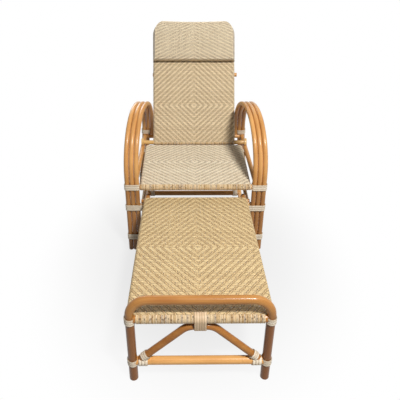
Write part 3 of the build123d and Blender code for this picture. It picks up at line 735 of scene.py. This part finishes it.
# Wraps: how far fibres streak them, flecks and tucked ends dust them, and painted shade darkens
# their edges
WRAP_STREAK_SHARE, WRAP_FLECK_SHARE, WRAP_GAP_SHADE_SHARE = 0.55, 0.7, 0.55
TUCKED_FROM = 0.62                # strands whose lot is above it have a tucked end
TUCK_NEAREST, TUCK_SPREAD = 8 * MM, 10 * MM
TUCK_FADE = (4 * MM, 1 * MM)
TUCK_DARK = 0.75
# Poles: how far clouds and fibres change their tone, and rings show
POLE_CLOUD_SHARE, POLE_FIBRE_SHARE, POLE_RING_SHARE = 1.9, 1.3, 0.12
# Where painted shade darkens the legs: fully below the first height, not above the second, and how
# far
FOOT_LEG_SHADE = (270 * MM, 345 * MM, 0.68)
ARM_LEG_SHADE = (335 * MM, 385 * MM, 0.42)


def new_finish(name):
    """A material and its empty node tree."""
    material = bpy.data.materials.new(name)
    material.use_nodes = True
    material.node_tree.nodes.clear()
    return material, material.node_tree


def shader_of(tree, **values):
    shader = add(tree, "ShaderNodeBsdfPrincipled", **values)
    add(tree, "ShaderNodeOutputMaterial", in_Surface=shader.outputs[0])


def strand_cane(tree):
    """The strand map of a piece, and the cane that is read from it."""
    spot = add(tree, "ShaderNodeUVMap", uv_map="strand").outputs[0]
    return spot, add(tree, "ShaderNodeGroup", node_tree=CANE, in_Strand=spot).outputs


def cane_surface(tree, cane, colour, rough, specular):
    """Split cane in a colour, with raised fibres and sunk edges."""
    height = minus(tree, cane["Fibre"], cane["Edge"])
    bump = add(tree, "ShaderNodeBump", in_Strength=0.35, in_Distance=0.4 * MM, in_Height=height)
    roughness = plus(tree, times(tree, cane["Fibre"], 0.3), rough)
    shader_of(
        tree, in_Base_Color=colour, in_Roughness=roughness, in_Normal=bump.outputs[0],
        in_Specular_IOR_Level=specular,
    )


def cane_finish(name, pale, deep, edge, fleck):
    """Split cane from pale to deep strands, with painted shade at its edges and where it dives
    under others.
    """
    material, tree = new_finish(name)
    _, cane = strand_cane(tree)
    streak = times(tree, minus(tree, cane["Fibre"], 0.5), CANE_STREAK)
    tone = plus(tree, times(tree, cane["Tone"], CANE_SPREAD), CANE_LEAST)
    colour = mixed(tree, plus(tree, tone, streak, clamp=True), pale, deep)
    sunk = add(tree, "ShaderNodeAttribute", attribute_name="sunk").outputs["Fac"]
    # Painted shade where the strand dives under a crossing one, deeper in some places than others
    dive = ranged(tree, apart(tree, sunk, 0.5), DIVE_FROM, 0.0, soft=True)
    shade_depth = ranged(tree, cane["Fibre"], *DIVE_SHADE_FIBRE, *DIVE_SHADE)
    colour = mixed(tree, times(tree, dive, shade_depth), colour, edge)
    colour = mixed(tree, times(tree, cane["Fleck"], fleck), colour, edge)
    # Painted shade at the strand's edges, where it meets its neighbours
    colour = mixed(tree, times(tree, cane["Edge"], CANE_GAP_SHADE), colour, edge)
    cane_surface(tree, cane, colour, rough=0.36, specular=0.4)
    return material


def panel_finish(name, tint, warp=1.0, fleck=0.6):
    """The two directions of a woven panel in one tint: paler strands across, deeper ones along,
    whose depth is partly painted shade.
    """
    def tinted(colour, level=1.0):
        return tuple(min(part * share * level, 1.0) for part, share in zip(colour, tint))

    finish = {}
    for kind, cane, level in (("weft", WEFT_CANE, 1.0), ("warp", WARP_CANE, warp)):
        pale, deep, edge = cane
        finish[kind] = cane_finish(
            name + "_" + kind, tinted(pale, level), tinted(deep, level), tinted(edge), fleck
        )
    return finish


def wrap_finish(name):
    """The strands turned round the end rails: pale, tan, brown and greyed ones side by side."""
    material, tree = new_finish(name)
    spot, cane = strand_cane(tree)
    ramp = add(tree, "ShaderNodeValToRGB", in_0=cane["Tone"])
    ramp.color_ramp.interpolation = "CONSTANT"
    stops = ramp.color_ramp.elements
    for index, (at, tint) in enumerate(WRAP_TONES):
        stop = stops[index] if index < 2 else stops.new(at)
        stop.position = at
        stop.color = (*tint, 1)
    streak = times(tree, cane["Fibre"], WRAP_STREAK_SHARE)
    colour = mixed(tree, streak, ramp.outputs[0], WRAP_STREAK)
    colour = mixed(tree, times(tree, cane["Fleck"], WRAP_FLECK_SHARE), colour, WRAP_DUST)
    # Some strands have a dark place, where an end is tucked under
    run, side, _ = split(tree, spot)
    number = math_node(tree, "FLOOR", plus(tree, side, 0.37))
    tucked = math_node(tree, "GREATER_THAN", drawn_lot(tree, number), TUCKED_FROM)
    lot = drawn_lot(tree, plus(tree, number, 0.5))
    middle = plus(tree, times(tree, lot, TUCK_SPREAD), TUCK_NEAREST)
    near = ranged(tree, apart(tree, run, middle), *TUCK_FADE)
    tuck = times(tree, times(tree, tucked, near), TUCK_DARK)
    colour = mixed(tree, tuck, colour, WRAP_DUST)
    # Painted shade at each strand's edges, where it meets its neighbours
    colour = mixed(tree, times(tree, cane["Edge"], WRAP_GAP_SHADE_SHARE), colour, WRAP_GAP_SHADE)
    cane_surface(tree, cane, colour, rough=0.4, specular=0.25)
    return material


def straight(axis):
    """Coordinates of a straight pole, turned so that Z runs along it."""
    order = {"X": (1, 2, 0), "Y": (0, 2, 1), "Z": (0, 1, 2)}[axis]

    def run_of(tree):
        parts = split(tree, object_place(tree))
        return combined(tree, *(parts[index] for index in order))
    return run_of


def arm_run(tree):
    """Coordinates that follow the bent arms: across, out from the arch, and along the pole."""
    x, y, z = split(tree, object_place(tree))
    hub_y = along_chair(ARM_HUB_Y)
    rear = math_node(tree, "GREATER_THAN", y, hub_y)
    rise = minus(tree, z, minus(tree, ARM_SPRING, times(tree, rear, ARM_SPRING_DROP)))
    above = math_node(tree, "MAXIMUM", rise, 0.0)
    level = minus(tree, y, hub_y)
    turn = math_node(tree, "ARCTAN2", above, math_node(tree, "ABSOLUTE", level))
    along = plus(tree, times(tree, turn, ARM_ARCH_R), math_node(tree, "MINIMUM", rise, 0.0))
    # The rear half reads another stretch of the pattern than the front half
    out = plus(tree, far_out(tree, level, above), times(tree, rear, 0.37))
    return combined(tree, x, out, along)


def hoop_run(half, top, bend, lean=None):
    """Coordinates that follow a hoop: out from its line, through its plane, and along the pole."""
    def run_of(tree):
        where = object_place(tree)
        if lean is not None:
            foot = add(
                tree, "ShaderNodeVectorMath", operation="SUBTRACT", in_0=where,
                in_1=tuple(BACK_FOOT),
            )
            where = add(
                tree, "ShaderNodeVectorRotate", rotation_type="X_AXIS",
                in_Vector=foot.outputs[0], in_Angle=lean,
            ).outputs[0]
        x, y, z = split(tree, where)
        side = minus(tree, math_node(tree, "ABSOLUTE", x), half - bend)
        side = math_node(tree, "MAXIMUM", side, 0.0)
        rise = math_node(tree, "MAXIMUM", minus(tree, z, top - bend), 0.0)
        return combined(tree, far_out(tree, side, rise), y, plus(tree, x, z))
    return run_of


def pole_finish(name, run_of, colours, rough, coat, leg_shade=None):
    """Rattan or wood of one colour range along its pole, under lacquer."""
    pale, deep, ring = colours
    material, tree = new_finish(name)
    pole = add(tree, "ShaderNodeGroup", node_tree=POLE, in_Along_Pole=run_of(tree)).outputs
    cloud = times(tree, minus(tree, pole["Cloud"], 0.5), POLE_CLOUD_SHARE)
    streak = times(tree, minus(tree, pole["Fibre"], 0.5), POLE_FIBRE_SHARE)
    colour = mixed(tree, plus(tree, plus(tree, cloud, streak), 0.5, clamp=True), pale, deep)
    colour = mixed(tree, times(tree, pole["Ring"], POLE_RING_SHARE), colour, ring)
    # Painted shade: the legs darken below a height, towards the dark tone
    if leg_shade:
        low, high, share = leg_shade
        height = split(tree, object_place(tree))[2]
        leg = ranged(tree, height, high, low, 0.0, share, soft=True)
        colour = mixed(tree, leg, colour, ring)
    relief = minus(tree, times(tree, pole["Fibre"], 0.5), pole["Ring"])
    bump = add(tree, "ShaderNodeBump", in_Strength=0.1, in_Distance=0.4 * MM, in_Height=relief)
    roughness = plus(tree, times(tree, pole["Cloud"], 0.14), rough)
    shader_of(
        tree, in_Base_Color=colour, in_Roughness=roughness, in_Normal=bump.outputs[0],
        in_Coat_Weight=coat, in_Coat_Roughness=0.18, in_Specular_IOR_Level=0.12,
    )
    return material


def steel_finish(name):
    material, tree = new_finish(name)
    grain = noise(tree, object_place(tree), 3.0, scale=STEEL_GRAIN)
    shader_of(
        tree, in_Base_Color=mixed(tree, grain, *WORN_STEEL), in_Metallic=1.0,
        in_Roughness=plus(tree, times(tree, grain, 0.25), 0.34),
    )
    return material


def paint(names, material):
    for name in names:
        node = nodes[name]
        node.data.materials.clear()
        node.data.materials.append(material)


def both(name):
    return [name + "_left", name + "_right"]


# The poles, with the roughness of each finish and the weight of its lacquer
back_hoop_run = hoop_run(BACK_HALF, BACK_LONG, BACK_BEND, BACK_LEAN)
foot_hoop_run = hoop_run(FOOT_LEG_X, FOOT_HOOP_TOP, FOOT_HOOP_BEND)
paint(
    both("arm_pole_inner") + both("arm_pole_middle") + both("arm_pole_outer"),
    pole_finish("rattan_arm", arm_run, RATTAN, 0.28, 0.45, leg_shade=ARM_LEG_SHADE),
)
paint(
    ["seat_front_rail", "seat_mid_bar", "seat_rear_bar", "rear_bearer", "rear_cross_rail",
     "lower_cross_stretcher", "back_lower_rail", "back_upper_rail", "bail_bar"],
    pole_finish("rattan_cross", straight("X"), RATTAN, 0.30, 0.2),
)
paint(
    both("side_rail") + both("seat_side_bar") + both("lower_stretcher"),
    pole_finish("rattan_long", straight("Y"), RATTAN, 0.30, 0.2),
)
paint(["back_hoop"], pole_finish("rattan_back_hoop", back_hoop_run, RATTAN, 0.30, 0.2))
paint(
    ["footrest_hoop"],
    pole_finish("rattan_foot_hoop", foot_hoop_run, RATTAN_DARK, 0.26, 0.35, leg_shade=FOOT_LEG_SHADE),
)
paint(
    ["footrest_front_rail", "footrest_rear_rail", "footrest_mid_bars", "footrest_slide_bar"],
    pole_finish("rattan_foot_cross", straight("X"), RATTAN_DARK, 0.28, 0.25),
)
paint(
    ["footrest_brace"],
    pole_finish("rattan_foot_brace", straight("X"), RATTAN_BROWN, 0.28, 0.25),
)
# The stretcher in the paler copy of the rattan, as painted light on its top
paint(
    ["footrest_stretcher"],
    pole_finish("rattan_foot_stretcher", straight("X"), RATTAN_PAINTED_LIGHT, 0.28, 0.25),
)
paint(
    both("footrest_side_rail"),
    pole_finish("rattan_foot_long", straight("Y"), RATTAN_DARK, 0.30, 0.2),
)
paint(["back_axle"], pole_finish("pale_wood_cross", straight("X"), PALE_WOOD, 0.36, 0.2))
paint(
    both("runner") + both("bearing_cheek"),
    pole_finish("pale_wood_long", straight("Y"), PALE_WOOD, 0.36, 0.2),
)
paint(
    both("rack") + both("bail_arm") + ["headrest_ribs"],
    pole_finish("pale_wood_tall", straight("Z"), PALE_WOOD, 0.36, 0.2),
)
paint(both("keeper"), steel_finish("worn_steel"))

back_cane = panel_finish("cane_back", (1.0, 1.0, 1.0))
seat_cane = panel_finish("cane_seat", (0.99, 1.05, 1.18))
foot_cane = panel_finish("cane_footrest", (0.87, 0.80, 0.645), warp=1.14, fleck=0.9)
head_cane = panel_finish("cane_headrest", (1.06, 1.12, 1.24))
wraps = wrap_finish("cane_wraps")
binding = cane_finish("cane_binding", *BINDING_CANE, 0.15)
tan_binding = cane_finish("cane_binding_tan", *TAN_CANE, 0.3)

# The woven panels: half their width laid flat, and their reach from the middle of their pattern
woven_panel(
    "seat_weave", "frame", seat_place, SEAT_WARP_PITCH, SEAT_WEFT_PITCH,
    SEAT_HALF + LIP_TURN * (SEAT_LAP_R - MID_WEAVE),
    -SEAT_MIDDLE, SEAT_LONG - SEAT_MIDDLE, seat_cane,
)
woven_panel(
    "footrest_weave", "footrest", footrest_place, WARP_PITCH, FOOT_WEFT_PITCH,
    FOOT_HALF + LIP_TURN * (FOOT_SIDE_LAP_R - MID_WEAVE),
    FOOT_FRONT - FOOT_PATTERN_AT, FOOT_REAR - FOOT_PATTERN_AT, foot_cane,
)
woven_panel(
    "back_weave", "backrest", back_place, WARP_PITCH, BACK_WEFT_PITCH,
    BACK_HALF + LIP_TURN * (BACK_LAP_R - MID_WEAVE),
    -BACK_PATTERN_AT, BACK_LONG - BACK_PATTERN_AT, back_cane,
)
woven_panel(
    "headrest_weave", "backrest", headrest_place, HEAD_WARP_PITCH, HEAD_WEFT_PITCH,
    HEAD_HALF, 0, HEAD_RUN[-1], head_cane, mirrored_along=False,
)

# The wraps of the end rails; two stand further off, to close the line between seat and back
rail_wrap(
    "seat_front_wrap", "seat_weave", "frame", SEAT_WRAP_HALF,
    level_rail(0, SEAT_TOP, SEAT_LAP_R), SEAT_LAP_R, -1, wraps,
)
rail_wrap(
    "seat_rear_wrap", "seat_weave", "frame", SEAT_HALF_REAR,
    level_rail(SEAT_LONG, SEAT_TOP, SEAT_LAP_R), SEAT_LAP_R, 1, wraps, over=1.5 * MM,
)
rail_wrap(
    "footrest_front_wrap", "footrest_weave", "footrest", FOOT_WRAP_HALF,
    level_rail(FOOT_FRONT, FOOT_TOP, FOOT_FRONT_LAP_R), FOOT_FRONT_LAP_R, -1, wraps,
)
rail_wrap(
    "footrest_rear_wrap", "footrest_weave", "footrest", FOOT_HALF - FOOT_SIDE_LAP_R,
    level_rail(FOOT_REAR, FOOT_TOP, FOOT_REAR_LAP_R), FOOT_REAR_LAP_R, 1, wraps,
)
rail_wrap(
    "back_foot_wrap", "back_weave", "backrest", HEAD_HALF,
    back_rail(0), BACK_LAP_R, -1, wraps, over=1.7 * MM,
)
rail_wrap(
    "back_top_wrap", "back_weave", "backrest", BACK_HALF - BACK_BEND,
    back_rail(BACK_LONG), BACK_LAP_R, 1, wraps,
)
headrest_ends(head_cane["warp"])

# The lashings: places as wound takes them, on the right side where a pair is mirrored
ACROSS = (1, 0, 0)
UPRIGHT = (0, 0, 1)
ONE_POLE = (0, 0, 0)
ARM_LASH = (14.6 * MM, 14.6 * MM, 32 * MM, 3, 0.2)
ARM_OUTER_X = 332
FRONT_LASHINGS = ((285, 369.5), (263.2, 254.4), (261.2, 81))     # innermost pole's x, height
REAR_LEG_RUN = (0.0993, 0.0091, -0.995)
REAR_LASHINGS = (                 # start, way across the poles, the poles' run
    ((278.13, 638.56, 398), (23.38, -0.47, 1.57), (0.07, 0.2846, -0.9561)),
    ((269.25, 655.16, 254.4), (44.85, -0.04, 4.47), REAR_LEG_RUN),
    ((284.54, 656.75, 81), (46.83, -0.04, 4.67), REAR_LEG_RUN),
)
FOOT_LEG_LASH = (19 * MM, 19 * MM, 27 * MM, 3, 0.2)
FOOT_LEG_LASH_Z = (290 * MM, 90 * MM)
CROSS_LASH = (17.5 * MM, 17.5 * MM, 26 * MM, 3, 0.2)
CROSS_LASH_AT = (246.4 * MM, 430 * MM, 81 * MM)
CENTRE_LASH = (21.2 * MM, 16.2 * MM, 42 * MM, 5, 0)
CENTRE_LASH_Z = 294 * MM          # the front rail's middle, and from there down to the brace's
CENTRE_LASH_DROP = 35 * MM
STRETCHER_LASH = (18.6 * MM, 18.6 * MM, 33 * MM, 3, 0.2)
STRETCHER_LASH_X = 203 * MM
FOOT_STRETCHER_Z = 90 * MM
BRACE_LASH = (16.1 * MM, 16.1 * MM, 25 * MM, 3, 0.2)
BRACE_FOOT_X = 220 * MM
BRACE_RUN = (0.7193, 0.6947)      # its slope, inwards and up
BRACE_LASH_AT = 37 * MM           # from its foot, along it


def on_side(sign, place, unit=MM):
    """A place or a way given for the right side, on either side."""
    x, y, z = (part * unit for part in place)
    return (sign * x, y, z)


for side, sign in (("right", 1), ("left", -1)):
    front_places = [
        (on_side(sign, (inner, 0, z)), on_side(sign, (ARM_OUTER_X - inner, 0, 0)), UPRIGHT,
         *ARM_LASH)
        for inner, z in FRONT_LASHINGS
    ]
    wound(
        "front_leg_lashing_" + side, "front_leg_bindings_" + side, "frame", front_places, binding
    )
    rear_places = [
        (on_side(sign, start), on_side(sign, across), on_side(sign, run, unit=1), *ARM_LASH)
        for start, across, run in REAR_LASHINGS
    ]
    wound("rear_leg_lashing_" + side, "rear_leg_bindings_" + side, "frame", rear_places, binding)
    ring_places = [
        ((sign * FOOT_LEG_X, FOOT_FRONT, z), ONE_POLE, UPRIGHT, *FOOT_LEG_LASH)
        for z in FOOT_LEG_LASH_Z
    ]
    wound(
        "footrest_leg_lashing_" + side, "footrest_leg_bindings_" + side, "footrest", ring_places,
        binding,
    )

wound("cross_stretcher_lashing", "cross_stretcher_bindings", "frame", [
    (on_side(sign, CROSS_LASH_AT, unit=1), ONE_POLE, ACROSS, *CROSS_LASH) for sign in (-1, 1)
], binding)
wound("footrest_centre_lashing", "footrest_centre_binding", "footrest", [
    ((0, FOOT_FRONT, CENTRE_LASH_Z), (0, 0, -CENTRE_LASH_DROP), ACROSS, *CENTRE_LASH)
], tan_binding)
in_x, up_z = (BRACE_LASH_AT * part for part in BRACE_RUN)
corner_places = []
for sign in (-1, 1):
    corner_places += [
        ((sign * STRETCHER_LASH_X, FOOT_FRONT, FOOT_STRETCHER_Z), ONE_POLE, ACROSS,
         *STRETCHER_LASH),
        ((sign * (BRACE_FOOT_X - in_x), FOOT_FRONT, FOOT_STRETCHER_Z + up_z), ONE_POLE,
         (-sign * BRACE_RUN[0], 0, BRACE_RUN[1]), *BRACE_LASH),
    ]
wound("footrest_corner_lashing", "footrest_corner_bindings", "footrest", corner_places, binding)

# Floor, light and camera
WHITE = (1, 1, 1, 1)
FLOOR_GREY = (0.38, 0.38, 0.38, 1)
FLOOR_WHITE = 0.78                # how far the floor under the chair is whitened where it is seen
FLOOR_OVAL = (1.0, 0.75, 0.0)     # it gets whiter over an oval, longer along the chair
FLOOR_WHITENS = (0.3, 0.85)
ROOM_LIGHT = 0.1


def seen_directly(tree):
    """1 for the camera and for what metal and glass mirror, 0 for light that falls on the chair."""
    path = add(tree, "ShaderNodeLightPath")
    shown = path.outputs["Is Camera Ray"]
    for kind in ("Is Glossy Ray", "Is Transmission Ray"):
        shown = math_node(tree, "MAXIMUM", shown, path.outputs[kind])
    return shown


def studio_floor():
    fresh()
    bpy.ops.mesh.primitive_plane_add(size=24, location=(0, 0, 0))
    floor = bpy.context.object
    floor.name = "studio_floor"
    material, tree = new_finish("pale_floor")
    matt = add(tree, "ShaderNodeBsdfDiffuse", in_Color=FLOOR_GREY)
    glow = add(tree, "ShaderNodeEmission", in_Color=WHITE, in_Strength=1.0)
    oval = stretched(tree, object_place(tree), FLOOR_OVAL)
    away = add(tree, "ShaderNodeVectorMath", operation="LENGTH", in_0=oval).outputs["Value"]
    white = ranged(tree, away, *FLOOR_WHITENS, FLOOR_WHITE, 1.0, soft=True)
    layers = add(
        tree, "ShaderNodeMixShader", in_0=times(tree, seen_directly(tree), white),
        in_1=matt.outputs[0], in_2=glow.outputs[0],
    )
    add(tree, "ShaderNodeOutputMaterial", in_Surface=layers.outputs[0])
    floor.data.materials.append(material)


def studio_room():
    """White all round where it is seen, and a dim even light on the chair."""
    world = bpy.data.worlds.new("studio")
    bpy.context.scene.world = world
    world.use_nodes = True
    tree = world.node_tree
    tree.nodes.clear()
    dim = add(tree, "ShaderNodeBackground", in_Color=WHITE, in_Strength=ROOM_LIGHT)
    white = add(tree, "ShaderNodeBackground", in_Color=WHITE, in_Strength=1.0)
    room = add(
        tree, "ShaderNodeMixShader", in_0=seen_directly(tree),
        in_1=dim.outputs[0], in_2=white.outputs[0],
    )
    add(tree, "ShaderNodeOutputWorld", in_Surface=room.outputs[0])


def softbox(name, place, aim, size, power):
    """A large soft lamp aimed at a point."""
    lamp = bpy.data.lights.new(name, "AREA")
    lamp.shape = "DISK"
    lamp.size = size
    lamp.energy = power
    holder = bpy.data.objects.new(name, lamp)
    bpy.context.scene.collection.objects.link(holder)
    holder.location = place
    holder.rotation_mode = "QUATERNION"
    holder.rotation_quaternion = (Vector(aim) - Vector(place)).to_track_quat("-Z", "Y")


studio_floor()
studio_room()
softbox("key_lamp", (0.95, -2.2, 3.5), (0, -0.1, 0.4), 0.6, 168)
softbox("fill_lamp", (2.4, -0.6, 3.0), (0, 0, 0.4), 2.2, 14)
softbox("rear_lamp", (-0.9, 3.0, 2.2), (0, 0.3, 0.5), 2.2, 40)

# The camera as it was fitted to the photo, in metres, radians and pixels
CAMERA_AT = (-0.0494, -1.8569, 1.4251)
PITCH, YAW, ROLL = 0.4781, 0.0131, -0.0041
FOCAL_PX = 440.0
PICTURE_PX = 400.0
CENTRE_PX = (190.67, 169.53)
SENSOR = 36


def photo_camera():
    data = bpy.data.cameras.new("photo_camera")
    camera = bpy.data.objects.new("photo_camera", data)
    bpy.context.scene.collection.objects.link(camera)
    level = math.cos(PITCH)
    forward = Vector((math.sin(YAW) * level, math.cos(YAW) * level, -math.sin(PITCH)))
    right = Vector((math.cos(YAW), -math.sin(YAW), 0))
    down = forward.cross(right)
    turned_right = right * math.cos(ROLL) + down * math.sin(ROLL)
    turned_down = down * math.cos(ROLL) - right * math.sin(ROLL)
    camera.matrix_world = Matrix((
        (turned_right.x, -turned_down.x, -forward.x, CAMERA_AT[0]),
        (turned_right.y, -turned_down.y, -forward.y, along_chair(CAMERA_AT[1])),
        (turned_right.z, -turned_down.z, -forward.z, CAMERA_AT[2]),
        (0, 0, 0, 1),
    ))
    data.sensor_width = SENSOR
    data.lens = SENSOR * FOCAL_PX / PICTURE_PX
    data.shift_x = (PICTURE_PX / 2 - CENTRE_PX[0]) / PICTURE_PX
    data.shift_y = (CENTRE_PX[1] - PICTURE_PX / 2) / PICTURE_PX
    bpy.context.scene.camera = camera


photo_camera()
bpy.context.scene.view_settings.view_transform = "Standard"
